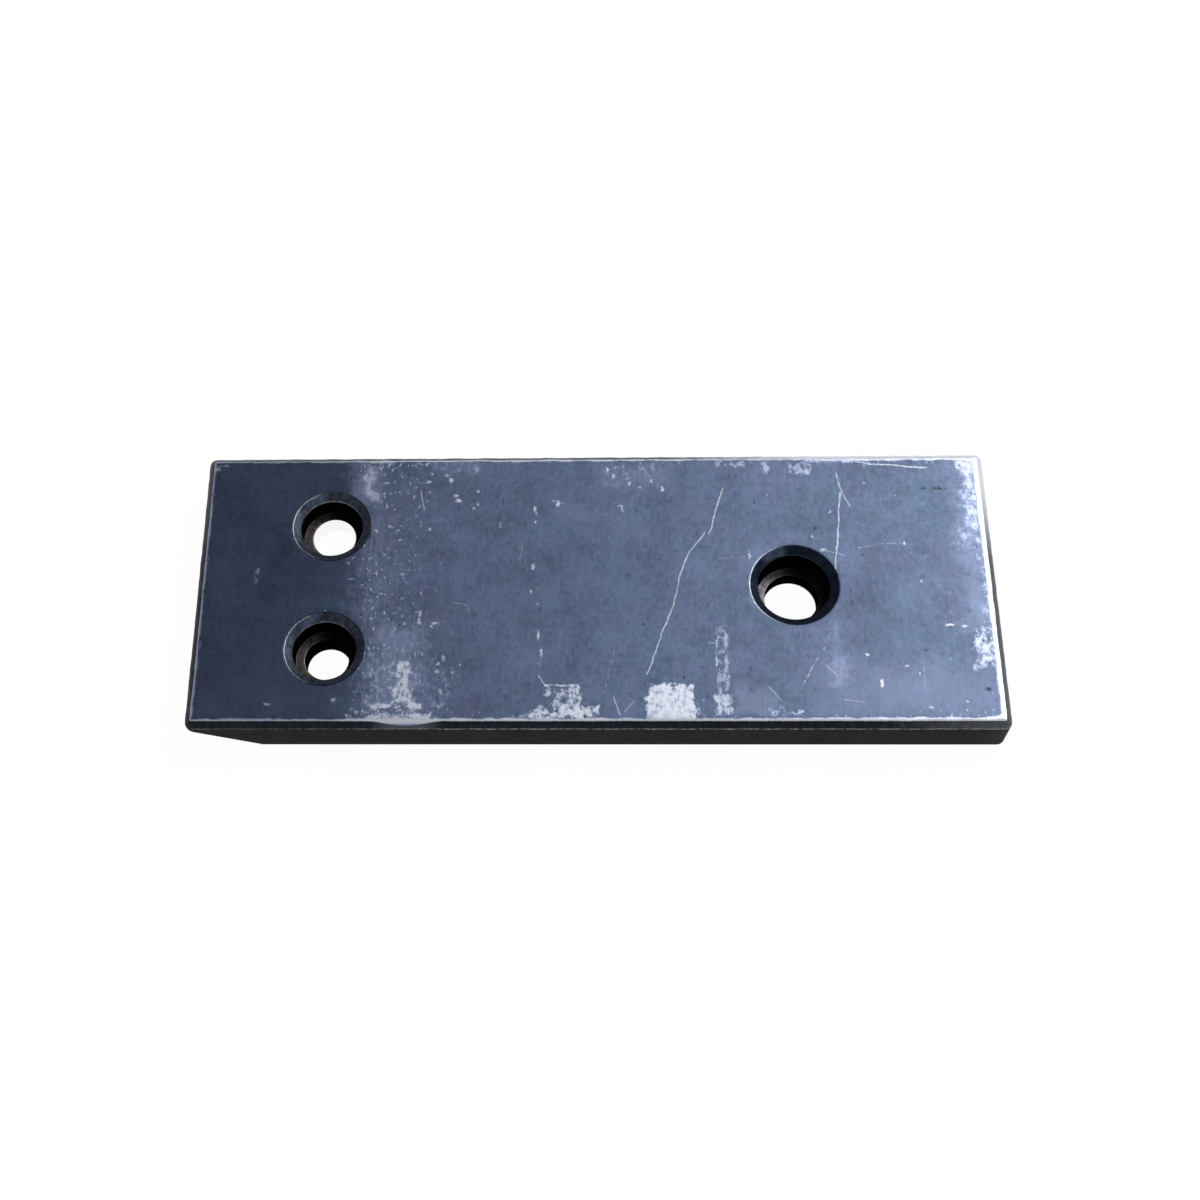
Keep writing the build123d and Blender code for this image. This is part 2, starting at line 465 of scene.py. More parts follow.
chips = [  # short bright nicks: centre, half size, strength
    ((-14.0, 20.8), (0.32, 0.8), 0.9), ((-13.7, 19.6), (0.32, 0.5), 0.8), ((-13.9, 17.2), (0.26, 0.55), 0.8),
    ((-14.4, 5.0), (0.42, 1.0), 0.9), ((-14.9, -1.6), (0.26, 0.55), 0.8), ((-13.3, -5.0), (0.2, 0.45), 0.5),
    ((-13.1, -13.2), (0.28, 1.3), 0.8), ((-12.3, -17.5), (0.28, 1.4), 0.85),
    ((-12.9, -20.4), (0.2, 0.4), 0.4),
    ((-33.2, 24.6), (0.7, 0.35), 0.75), ((-32.6, 23.2), (0.75, 0.5), 1.0), ((-28.0, 25.8), (0.4, 0.4), 0.85),
    ((-28.9, 21.0), (0.5, 0.4), 0.85), ((-28.0, 22.2), (0.45, 0.4), 0.6), ((-34.7, 29.0), (0.6, 0.8), 0.95),
    ((-35.6, 30.4), (0.7, 0.35), 0.6), ((-39.9, 28.6), (0.7, 0.45), 0.8), ((-39.5, 15.4), (0.42, 0.45), 0.9),
    ((-8.5, 22.2), (0.5, 1.0), 0.9), ((-9.4, 23.0), (0.5, 0.25), 0.6), ((-7.6, 22.5), (0.5, 0.25), 0.5),
    ((3.6, 31.8), (0.3, 0.8), 0.9), ((5.1, 29.9), (0.4, 0.8), 0.7), ((8.9, 27.8), (0.35, 0.7), 0.85),
    ((16.9, 26.2), (0.42, 0.8), 0.95), ((14.3, 28.4), (0.35, 0.6), 0.6), ((11.4, 26.8), (0.3, 0.3), 0.6),
    ((6.6, 21.6), (0.8, 0.28), 0.6), ((7.1, 20.7), (0.3, 0.9), 0.75), ((37.2, 7.9), (0.25, 1.1), 0.6),
    ((65.9, -25.4), (0.5, 1.2), 1.0), ((63.1, -18.3), (0.5, 0.45), 0.85), ((72.0, -21.2), (0.35, 0.3), 0.6),
    ((76.5, -31.5), (0.6, 0.35), 0.7), ((85.0, -30.1), (0.25, 0.35), 0.6), ((82.6, -10.6), (1.0, 0.32), 0.9),
    ((86.2, -11.0), (0.9, 0.22), 0.6), ((-41.1, -7.4), (0.45, 0.9), 0.7), ((-41.3, -9.3), (0.4, 0.8), 0.85),
    ((-37.4, -9.9), (0.9, 0.3), 0.75), ((-38.2, -10.8), (0.4, 0.4), 0.6), ((-36.4, -20.4), (0.45, 0.5), 0.85),
    ((-36.6, -22.4), (0.5, 0.5), 0.8), ((-35.2, -19.0), (0.45, 0.9), 0.6), ((-31.3, -20.7), (0.28, 0.5), 0.6),
    ((-60.4, -29.6), (0.7, 0.55), 0.6), ((-75.6, -30.6), (1.0, 0.3), 0.4), ((-22.4, 16.4), (0.5, 0.9), 0.3),
    ((-45.7, 3.1), (0.4, 0.35), 0.75), ((-52.3, 14.8), (0.35, 0.35), 0.7), ((-52.6, -8.7), (0.35, 0.4), 0.75),
    ((-52.4, -5.9), (0.3, 0.3), 0.6), ((-45.3, -8.0), (0.3, 0.3), 0.6), ((-58.7, 6.2), (0.4, 0.4), 0.5),
    ((52.4, 12.9), (0.25, 0.3), 0.7), ((77.1, 0.7), (0.25, 0.3), 0.7), ((57.0, 19.6), (0.3, 0.35), 0.6),
    ((65.7, 27.6), (0.22, 0.4), 0.6), ((74.1, 11.1), (0.3, 0.6), 0.7), ((42.3, 24.4), (0.25, 0.3), 0.5),
    ((54.7, 9.3), (0.8, 0.6), 0.5), ((-63.7, -6.6), (0.35, 0.35), 0.35), ((-92.6, 32.4), (0.9, 0.6), 0.35),
    ((-90.6, 33.4), (0.9, 0.35), 0.3), ((-80.5, 4.0), (0.5, 0.9), 0.30), ((-80.7, 1.4), (0.4, 0.8), 0.16),
]

pits = [  # dark specks and dents: centre, half size, strength
    ((79.9, 25.9), (0.95, 0.4), 0.8), ((82.4, 26.1), (0.6, 0.45), 0.8), ((83.6, 25.9), (0.7, 0.5), 0.8),
    ((84.8, 25.8), (0.5, 0.3), 0.6), ((53.3, 15.2), (0.5, 0.55), 0.8), ((52.8, 14.4), (0.3, 0.4), 0.5),
    ((38.95, 22.3), (0.25, 0.5), 0.9), ((11.7, -10.3), (0.35, 0.35), 0.9), ((64.0, 7.7), (0.55, 0.25), 0.7),
    ((90.0, -27.0), (0.9, 0.5), 0.8), ((20.6, -24.1), (0.5, 0.5), 0.7), ((76.7, -17.1), (0.5, 0.3), 0.6),
    ((-52.2, 2.7), (0.3, 0.3), 0.7), ((60.3, -1.6), (0.2, 0.4), 0.6), ((77.6, 2.0), (0.6, 0.5), 0.35),
]

patches = [  # film rubbed through to pale steel: centre, half size, softness, raggedness, cover, level
    ((-54.9, 28.6), (1.0, 4.4), 1.4, 9.0, 0.80, 0.54),
    ((-53.4, 24.2), (1.9, 1.5), 1.0, 8.0, 0.80, 0.46),
    ((-44.4, -24.0), (1.6, 4.4), 1.0, 10.0, 0.66, 0.86),
    ((-44.2, -28.6), (2.4, 1.8), 0.8, 8.0, 0.64, 0.84),
    ((-46.0, -31.3), (5.8, 0.5), 0.5, 5.0, 0.76, 0.85),
    ((-45.0, -33.9), (7.4, 0.8), 0.8, 6.0, 0.84, 0.96),
    ((-47.5, -25.0), (6.0, 7.6), 3.0, 22.0, 0.40, 0.56),
    ((-44.0, -15.0), (6.0, 4.0), 3.0, 20.0, 0.32, 0.46),
    ((-53.5, -1.0), (2.0, 5.0), 2.2, 18.0, 0.34, 0.44),
    ((-33.6, 12.5), (0.8, 2.6), 1.4, 6.0, 0.55, 0.24),
    ((-35.0, -27.0), (2.0, 5.0), 1.6, 14.0, 0.38, 0.50),
    ((-8.2, -25.9), (3.2, 0.20), 0.30, 1.5, 0.95, 0.85),
    ((-6.0, -27.2), (1.2, 0.18), 0.28, 1.8, 0.90, 0.72),
    ((-7.0, -29.4), (3.6, 3.0), 0.8, 8.0, 0.56, 0.76),
    ((-7.0, -32.6), (7.4, 1.3), 0.7, 7.0, 0.68, 0.94),
    ((-14.0, -34.0), (6.0, 0.4), 0.7, 5.0, 0.55, 0.60),
    ((-1.8, -29.8), (1.8, 3.4), 0.8, 4.0, 1.0, 0.11),
    ((17.4, -30.2), (5.4, 4.3), 0.42, 4.5, 0.64, 0.98),
    ((17.2, -30.6), (5.2, 4.2), 0.44, 4.0, 1.0, 0.56),
    ((23.2, -31.6), (1.4, 2.0), 0.8, 7.0, 0.56, 0.60),
    ((29.8, -20.5), (1.5, 9.6), 0.44, 2.6, 0.50, 0.48),
    ((28.4, -23.0), (0.18, 8.4), 0.35, 1.2, 0.76, 0.64),
    ((29.6, -30.6), (1.9, 2.6), 0.7, 5.0, 0.66, 0.66),
    ((27.4, -15.3), (0.9, 0.14), 0.30, 1.2, 0.80, 0.50),
    ((44.8, -32.6), (4.2, 0.9), 0.8, 8.0, 0.50, 0.70),
    ((91.4, 23.5), (1.8, 9.4), 2.2, 11.0, 0.74, 0.62),
    ((88.6, 12.6), (1.6, 2.4), 2.2, 11.0, 0.58, 0.48),
    ((92.0, -3.0), (0.5, 15.0), 1.1, 8.0, 0.55, 0.56),
    ((90.0, -16.5), (1.9, 4.8), 1.0, 9.0, 0.62, 0.62),
    ((90.2, 32.4), (2.4, 1.5), 0.7, 6.0, 0.74, 0.62),
    ((9.0, 30.8), (6.0, 2.4), 1.4, 14.0, 0.38, 0.46),
    ((33.5, 33.2), (3.4, 0.9), 0.8, 7.0, 0.60, 0.46),
    ((42.0, 31.8), (0.8, 1.6), 0.6, 5.0, 0.66, 0.50),
    ((50.5, 32.0), (2.6, 1.3), 0.8, 7.0, 0.60, 0.50),
    ((58.0, 34.0), (5.0, 0.5), 0.7, 5.0, 0.74, 0.62),
    ((-33.0, 32.6), (5.2, 1.2), 0.9, 9.0, 0.42, 0.50),
    ((-93.0, 33.0), (1.2, 0.9), 0.6, 4.0, 0.60, 0.40),
    ((-93.2, 6.0), (0.3, 28.0), 0.5, 3.5, 0.50, 0.30),
    ((-80.7, 2.8), (0.25, 1.4), 0.7, 3.0, 0.70, 0.26),
]

hazes = [  # film only thinned, never bare: the same six values
    ((56.6, -22.5), (1.8, 4.2), 1.9, 9.0, 0.85, 0.52),
    ((56.4, -14.5), (0.6, 4.4), 1.5, 5.0, 0.85, 0.36),
    ((66.0, -23.5), (3.0, 2.0), 2.2, 9.0, 0.85, 0.26),
    ((37.0, -29.8), (4.8, 3.4), 1.6, 9.0, 0.9, 0.32),
    ((90.0, 11.0), (2.6, 23.0), 3.6, 18.0, 0.9, 0.34),
    ((72.0, -27.5), (21.0, 6.0), 7.0, 20.0, 1.0, 0.22),
    ((-52.5, 4.0), (3.0, 14.0), 3.0, 26.0, 0.70, 0.30),
    ((-46.0, -22.0), (6.0, 11.0), 3.5, 24.0, 0.78, 0.42),
    ((10.0, 30.0), (9.0, 3.0), 2.0, 13.0, 0.85, 0.20),
    ((-55.0, 28.0), (3.4, 5.6), 2.4, 12.0, 0.85, 0.46),
    ((-33.0, 32.5), (6.0, 2.0), 1.5, 9.0, 0.85, 0.16),
    ((-70.0, -30.0), (22.0, 4.0), 5.0, 16.0, 1.0, 0.05),
]

topFinish = dict(
    noseFilmAndShade=(0.048, 0.066, 0.119), middleFilm=(0.122, 0.163, 0.268), endFilm=(0.104, 0.140, 0.222),
    thinFilm=(0.325, 0.39, 0.59), bareSteel=(0.74, 0.78, 0.88), pitColour=(0.018, 0.022, 0.032),
    violet=(1.06, 0.985, 1.03), teal=(0.95, 1.01, 0.985),
    filmRough=0.42, bareRough=0.48, scratchRough=0.40,
    filmMetal=0.85, mottle=0.52,  # how far the mottling lightens and darkens the film
    noseEnds=(-64.0, -46.0),  # the dark film and the painted shade at the nose end between these two places along the bar
    tones=dict(Streak=0.30, Cloud=0.8, Grit=0.78, Grain=0.57), toneSpan=(0.63, 1.82),
    crumbs=dict(nearPair=0.46, rim=0.34, behindNose=0.34, farEnd=0.16, clusters=1.5, level=0.56),
    arris=dict(reach=(0.50, 1.25), farReach=0.30, endReach=0.5,
               level=(0.50, 0.94), farLevel=0.25, lipLevel=0.36),
    relief=dict(Grain=0.014, Grit=0.020), bumpStrength=0.8,  # heights in mm
)

sideFinish = dict(
    oiled=(0.010, 0.009, 0.008), paleSteel=(0.16, 0.15, 0.13), rough=0.55, metal=0.05, specular=0.03,
    ridge=(0.50, 0.52, 0.56),  # where the chamfer meets the upright sides
)

chamferFilm = dict(
    film=(0.014, 0.017, 0.024), paleSteel=(0.72, 0.76, 0.84), rough=0.42, specular=0.10,
    backSheen=(0.06, 1.0), frontSheen=0.14, arrisWear=(0.30, 0.90),
)

holeFinish = dict(
    wall=(0.0025, 0.0025, 0.003), pairLedge=(0.11, 0.098, 0.092), singleLedge=(0.30, 0.28, 0.31),
    polished=(0.93, 0.93, 0.93), polishedRough=0.12,  # the bore at the back of the pair
    pairCone=(0.046, 0.056, 0.080), singleCone=(0.014, 0.021, 0.040), coneHighlightColour=(0.13, 0.19, 0.30),
    paleSteel=(0.80, 0.84, 0.92), rough=0.40, specular=0.0, ringPitch=0.9,
)

underFinish = dict(film=(0.060, 0.066, 0.080), paleSteel=(0.30, 0.31, 0.33), rough=0.46, rubLevel=0.5,
                   cutterPitch=1.9)


def startMaterial(name):
    material = bpy.data.materials.new(name)
    material.use_nodes = True
    tree = material.node_tree
    shader = tree.nodes["Principled BSDF"]
    place = addNode(tree, "TexCoord").outputs["Object"]
    return material, tree, shader, vectorMaths(tree, "SCALE", place, scale=1000.0)  # a point in mm


def flatten(tree, point):
    return stretch(tree, point, 1, 1, 0)


def greatest(tree, values):  # folds in each value as it is made, which keeps a big shader's memory small
    result = None
    for value in values:
        result = value if result is None else maths(tree, "MAXIMUM", result, value)
    return result


def drawLines(tree, point, breakup, marks):
    def line(places, width, strength, broken):
        ends = [(x, y, 0) for x, y in places]
        gap = None
        for start, end in zip(ends, ends[1:]):
            piece = useGroup(tree, lineGap, Point=point, Start=start, End=end)["Gap"]
            gap = piece if gap is None else maths(tree, "MINIMUM", gap, piece)
        mask = smoothStep(tree, gap, width * 0.68, width * 0.08, 0.0, strength * 0.9)
        if broken > 0.3:
            mask = times(tree, mask, smoothStep(tree, breakup, broken - 0.04, broken + 0.2))
        return mask
    return greatest(tree, (line(*mark) for mark in marks))


def drawSpots(tree, point, marks):  # soft ellipses
    def spot(centre, half, strength):
        offset = vectorMaths(tree, "SUBTRACT", point, (*centre, 0))
        reach = vectorMaths(tree, "LENGTH", stretch(tree, offset, 1 / half[0], 1 / half[1], 0))
        return smoothStep(tree, reach, 1.25, 0.35, 0.0, strength)
    return greatest(tree, (spot(*mark) for mark in marks))


def drawPatches(tree, shaken, torn, edgeNoise, grit, marks):  # the softer ones have torn outlines
    def patch(centre, half, soft, ragged, cover, level):
        return useGroup(tree, rubbedPatch, Point=torn if soft > 0.45 else shaken, Centre=(*centre, 0),
                        Half=(*half, 0), Soft=soft, Ragged=ragged, Noise=edgeNoise, Grit=grit,
                        Cover=cover, Level=level)["Mask"]
    return greatest(tree, (patch(*mark) for mark in marks))


def wander(tree, point, scale, detail, rough, reach):  # the point seen from above, moved about by noise
    field = addNode(tree, "TexNoise", Vector=point, Scale=scale, Detail=detail, Roughness=rough)
    shift = vectorMaths(tree, "SUBTRACT", field.outputs["Color"], (0.5, 0.5, 0.5))
    return vectorMaths(tree, "ADD", flatten(tree, point), stretch(tree, shift, reach, reach, 0))


def edgeNoiseAt(tree, point):  # runs evenly either side of 0
    return maths(tree, "SUBTRACT", noise(tree, point, 0.34, 5.0, 0.66), 0.5)


def closeTo(tree, value, target, far, close):  # 1 where the value is at the target, 0 from far on
    return smoothStep(tree, maths(tree, "ABSOLUTE", maths(tree, "SUBTRACT", value, target)), far, close)


def addUp(tree, mottle, weights):  # the named outputs of the mottle, each times its weight
    total = 0.0
    for name, weight in weights.items():
        total = maths(tree, "MULTIPLY_ADD", mottle[name], weight, total)
    return total


def grainRough(tree, mottle, rough, below, above):  # roughness that follows the grain
    return smoothStep(tree, mottle["Grain"], 0.2, 0.8, rough - below, rough + above)


def addRelief(tree, shader, height, strength):  # height in mm
    bump = addNode(tree, "Bump", Strength=strength, Distance=mm, Height=height)
    feed(tree, shader.inputs["Normal"], bump.outputs["Normal"])


def arrises(tree, point):
    return useGroup(tree, outlineGap, Point=point, Half=(blockSize.x / 2 / mm, blockSize.y / 2 / mm, 0),
                    Corner=blockForm["cornerRadius"] / mm, Chamfer=blockForm["edgeChamfer"] / mm,
                    Top=steelHigh.z / mm)


def makeTopSteel(finish):
    material, tree, shader, point = startMaterial("wornTopSteel")
    along = part(tree, point, "x")
    mottle = useGroup(tree, steelMottle, Point=point)
    edgeNoise = edgeNoiseAt(tree, point)
    breakup = noise(tree, point, 1.1, 3.0, 0.6)
    shaken = wander(tree, point, 0.22, 3.0, 0.6, 1.3)
    torn = wander(tree, point, 0.40, 4.0, 0.65, 4.5)
    crumbled = wander(tree, point, 1.5, 2.0, 0.6, 1.3)

    # the blued film: dark at the nose, thinner from the pair of holes on; the darkness at the nose is partly
    # the film and partly painted shade
    nosePlace = maths(tree, "MULTIPLY_ADD", edgeNoise, 20.0, along)
    film = blendColours(tree, smoothStep(tree, nosePlace, *finish["noseEnds"]), finish["noseFilmAndShade"],
                        finish["middleFilm"])
    film = blendColours(tree, smoothStep(tree, along, 0.0, 90.0), film, finish["endFilm"])
    tint = blendColours(tree, smoothStep(tree, mottle["Tint"], 0.36, 0.64), finish["teal"], finish["violet"])
    film = vectorMaths(tree, "MULTIPLY", film, tint)
    tone = addUp(tree, mottle, finish["tones"])
    film = vectorMaths(tree, "SCALE", film, scale=smoothStep(
        tree, tone, *finish["toneSpan"], 1 - finish["mottle"], 1 + finish["mottle"]))
    haze = drawPatches(tree, shaken, torn, edgeNoise, mottle["Streak"], hazes)
    film = blendColours(tree, haze, film, finish["thinFilm"])

    # rubbed patches, nicks and worn arrises
    crumbForm, arrisForm = finish["crumbs"], finish["arris"]
    bare = drawPatches(tree, shaken, torn, edgeNoise, mottle["Grit"], patches)
    bare = times(tree, bare, smoothStep(tree, mottle["Streak"], 0.3, 0.6, 0.72, 1.0))
    behindNose = smoothStep(tree, nosePlace, -60.0, -53.0)
    nearPair = times(tree, behindNose, smoothStep(tree, nosePlace, -28.0, -44.0))
    gaps = arrises(tree, point)
    rim = smoothStep(tree, gaps["Inset"], 6.0, 2.0)
    amount = maths(tree, "MULTIPLY_ADD", nearPair, crumbForm["nearPair"], times(tree, rim, crumbForm["rim"]))
    amount = maths(tree, "MULTIPLY_ADD", behindNose, crumbForm["behindNose"], amount)
    amount = maths(tree, "ADD", amount, smoothStep(tree, along, 45.0, 75.0, 0.0, crumbForm["farEnd"]))
    amount = maths(tree, "MULTIPLY_ADD", edgeNoise, crumbForm["clusters"], amount)
    crumbs = useGroup(tree, flecks, Point=shaken, Amount=amount)["Mask"]
    lines = drawLines(tree, shaken, breakup, scratches)
    beads = smoothStep(tree, breakup, 0.34, 0.62, 0.45, 1.0)
    lines = times(tree, lines, beads)
    spots = times(tree, drawSpots(tree, crumbled, chips), smoothStep(tree, breakup, 0.30, 0.50, 0.55, 1.0))
    reach = smoothStep(tree, edgeNoise, -0.22, 0.22, *arrisForm["reach"])
    reach = maths(tree, "ADD", reach, smoothStep(tree, along, 20.0, 80.0, 0.0, arrisForm["farReach"]))
    reach = maths(tree, "ADD", reach, smoothStep(tree, along, 89.0, 92.0, 0.0, arrisForm["endReach"]))
    arris = smoothStep(tree, gaps["Upper"], reach, times(tree, reach, 0.2))
    arris = maths(tree, "MAXIMUM", arris, smoothStep(tree, gaps["Inset"], 1.6, 1.3))
    level = smoothStep(tree, nosePlace, -66.0, -46.0, *arrisForm["level"])
    level = maths(tree, "ADD", level, smoothStep(tree, along, 30.0, 75.0, 0.0, arrisForm["farLevel"]))
    lipLevel = smoothStep(tree, gaps["Inset"], 0.6, 1.25, arrisForm["lipLevel"], 1.0)  # duller on the lip
    arris = times(tree, level, arris, lipLevel)
    bare = greatest(tree, [bare, times(tree, crumbs, crumbForm["level"]), arris])
    cuts = maths(tree, "MAXIMUM", lines, spots)
    polished = maths(tree, "MAXIMUM", bare, cuts)
    colour = blendColours(tree, smoothStep(tree, bare, 0.0, 0.7), film, finish["thinFilm"])
    colour = blendColours(tree, smoothStep(tree, bare, 0.2, 0.95), colour, finish["bareSteel"])
    colour = blendColours(tree, cuts, colour, finish["bareSteel"])
    dark = drawSpots(tree, crumbled, pits)
    pitted = smoothStep(tree, mottle["Grit"], 0.365, 0.30, 0.0, 0.4)
    colour = blendColours(tree, maths(tree, "MAXIMUM", dark, pitted), colour, finish["pitColour"])
    feed(tree, shader.inputs["Base Color"], colour)

    rough = blendValues(tree, bare, finish["filmRough"], finish["bareRough"])
    rough = maths(tree, "ADD", rough, smoothStep(tree, mottle["Grain"], 0.2, 0.8, -0.05, 0.06))
    feed(tree, shader.inputs["Roughness"], blendValues(tree, lines, rough, finish["scratchRough"]))
    feed(tree, shader.inputs["Metallic"], blendValues(tree, polished, finish["filmMetal"], 1.0))

    addRelief(tree, shader, addUp(tree, mottle, finish["relief"]), finish["bumpStrength"])
    return material


def makeSideSteel(finish):
    material, tree, shader, point = startMaterial("oiledSideSteel")
    mottle = useGroup(tree, steelMottle, Point=point)
    gaps = arrises(tree, point)
    along, across = part(tree, point, "x"), part(tree, point, "y")
    saw = noise(tree, stretch(tree, point, 0.35, 0.35, 2.6), 1.0, 3.0, 0.6)
    tone = maths(tree, "MULTIPLY_ADD", saw, 0.6, mottle["Cloud"])
    film = vectorMaths(tree, "SCALE", finish["oiled"], scale=smoothStep(tree, tone, 0.5, 1.1, 0.5, 1.7))
    # painted highlight: the sides are coloured paler towards the front right corner
    cornerHighlight = times(tree, smoothStep(tree, along, 88.0, 95.0), smoothStep(tree, across, 0.0, -34.0))
    film = blendColours(tree, times(tree, cornerHighlight, 0.14), film, finish["paleSteel"])
    reach = smoothStep(tree, mottle["Grit"], 0.3, 0.75, 0.22, 0.75)
    wear = smoothStep(tree, gaps["Lower"], reach, 0.04)
    wear = times(tree, wear, smoothStep(tree, along, -85.0, -20.0, 0.35, 1.0))
    specksOfWear = smoothStep(tree, mottle["Grit"], 0.66, 0.76, 0.0, 0.35)
    colour = blendColours(tree, specksOfWear, film, finish["paleSteel"])
    colour = blendColours(tree, wear, colour, finish["ridge"])
    feed(tree, shader.inputs["Base Color"], colour)
    feed(tree, shader.inputs["Roughness"], grainRough(tree, mottle, finish["rough"], 0.08, 0.08))
    feed(tree, shader.inputs["Metallic"], blendValues(tree, wear, finish["metal"], 0.9))
    shader.inputs["Specular IOR Level"].default_value = finish["specular"]
    height = maths(tree, "MULTIPLY_ADD", saw, 0.03, times(tree, mottle["Grain"], 0.02))
    addRelief(tree, shader, height, 0.7)
    return material


def makeChamferSteel(finish):
    material, tree, shader, point = startMaterial("filmedChamferSteel")
    along, across = part(tree, point, "x"), part(tree, point, "y")
    mottle = useGroup(tree, steelMottle, Point=point)
    gaps = arrises(tree, point)
    edgeNoise = edgeNoiseAt(tree, point)
    place = maths(tree, "MULTIPLY_ADD", edgeNoise, 40.0, along)
    grime = smoothStep(tree, mottle["Grit"], 0.3, 0.8, 0.6, 1.7)
    film = vectorMaths(tree, "SCALE", finish["film"], scale=grime)
    # painted sheen: the back chamfer (more towards the right end), the front chamfer towards the right end
    # and the chamfer across the right end are coloured paler, standing in for the light they catch
    back = smoothStep(tree, across, 0.0, 30.0)
    backSheen = times(tree, back, smoothStep(tree, place, 10.0, 60.0, *finish["backSheen"]))
    endSheen = times(tree, smoothStep(tree, along, 90.0, 93.5), 0.10)
    lip = blockForm["lip"]
    underLip = closeTo(tree, along, lip["centre"] / mm, lip["reach"] / mm, 3.0)
    lapWear = times(tree, underLip, smoothStep(tree, across, -30.0, -34.0, 0.0, 0.12))
    frontSheen = smoothStep(tree, place, 60.0, 100.0, 0.0, finish["frontSheen"])
    reach = smoothStep(tree, mottle["Grit"], 0.3, 0.7, 0.16, 0.42)
    arris = times(tree, smoothStep(tree, gaps["Upper"], reach, 0.05),
                  smoothStep(tree, place, -70.0, -46.0, *finish["arrisWear"]))
    lower = times(tree, smoothStep(tree, gaps["Lower"], times(tree, reach, 0.8), 0.02),
                  smoothStep(tree, along, -85.0, -20.0, 0.06, 0.22))
    # wear here holds the rubbed lap, arrises and lower edge together with the painted sheen
    wear = greatest(tree, [backSheen, endSheen, lapWear, frontSheen, arris, lower])
    feed(tree, shader.inputs["Base Color"], blendColours(tree, wear, film, finish["paleSteel"]))
    feed(tree, shader.inputs["Roughness"], grainRough(tree, mottle, finish["rough"], 0.06, 0.08))
    feed(tree, shader.inputs["Metallic"], smoothStep(tree, wear, 0.0, 0.3, 0.20, 1.0))
    shader.inputs["Specular IOR Level"].default_value = finish["specular"]
    addRelief(tree, shader, times(tree, mottle["Grain"], 0.02), 0.7)
    return material


